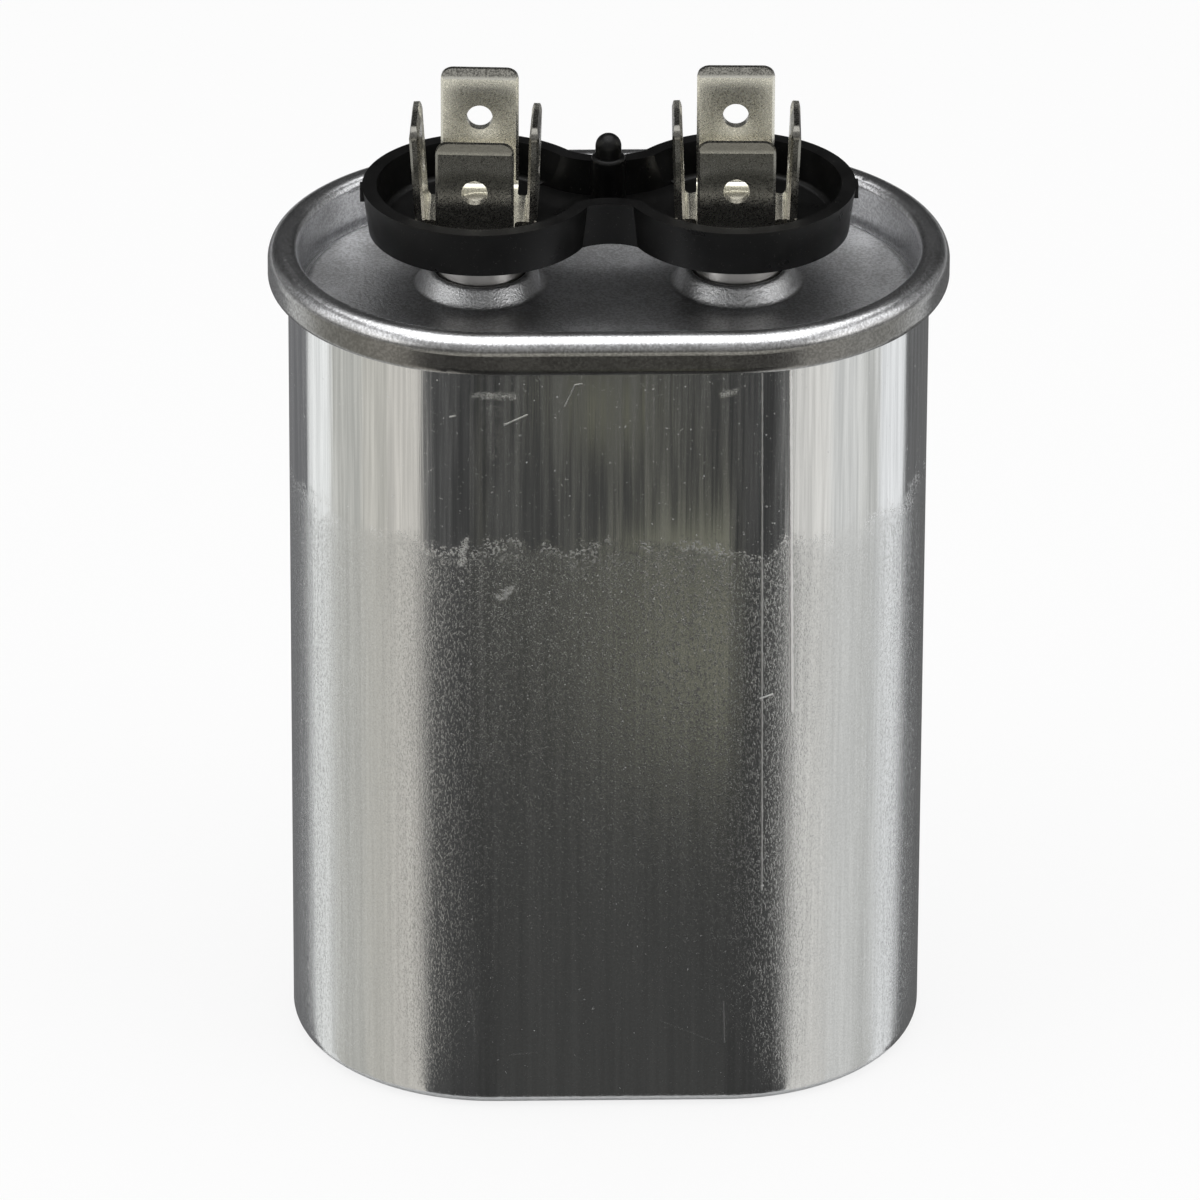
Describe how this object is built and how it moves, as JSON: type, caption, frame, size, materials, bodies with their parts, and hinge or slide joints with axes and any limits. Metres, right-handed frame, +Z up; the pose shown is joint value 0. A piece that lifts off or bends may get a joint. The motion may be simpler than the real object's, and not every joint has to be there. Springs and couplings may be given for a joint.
{
  "type": "motor run capacitor",
  "caption": "Oval motor run capacitor: bare aluminium can with a double-seamed lid, a black cup round both terminals and a crown of push-on blades on each stud",
  "frame": {"origin": "centre of the base, on the surface the can stands on", "axes": "+Z up, +X along the line of the two terminals, the viewer stands on the -Y side"},
  "size_m": [0.0548, 0.0362, 0.0839],
  "materials": {
    "aluminium_can": "bare drawn, satin with draw streaks",
    "aluminium_lid": "satin, finely speckled",
    "compound": "dark sealing compound",
    "black_moulding": "semi-gloss black moulding",
    "tin_plate": "matt tin plate, mottled",
    "stud_steel": "plated, dull",
    "ferrule_metal": "dull grey-brown",
    "gasket_rubber": "matt black",
    "bushing_board": "pressed board, matt",
    "disconnect_board": "moulded, matt brown",
    "lead_metal": "tinned tape",
    "sleeve_film": "insulating paper",
    "metallised_film": "metallised film edge, satin",
    "core_plastic": "natural white",
    "spray_zinc": "sprayed metal, granular",
    "wrap_film": "insulating film",
    "insulator_plastic": "matt moulding"
  },
  "bodies": {
    "root": {"can": "aluminium_can", "lid": "aluminium_lid", "seam_compound": "compound", "terminal_cup": "black_moulding", "left_crown": "tin_plate", "right_crown": "tin_plate", "left_stud": "stud_steel", "right_stud": "stud_steel", "left_ferrule": "ferrule_metal", "right_ferrule": "ferrule_metal", "left_gasket": "gasket_rubber", "right_gasket": "gasket_rubber", "left_bushing": "bushing_board", "right_bushing": "bushing_board", "disconnect_plate": "disconnect_board", "left_lead": "lead_metal", "right_lead": "lead_metal", "lead_sleeve": "sleeve_film", "winding": "metallised_film", "winding_core": "core_plastic", "top_end_spray": "spray_zinc", "bottom_end_spray": "spray_zinc", "winding_wrap": "wrap_film", "base_insulator": "insulator_plastic"}
  },
  "joints": []
}
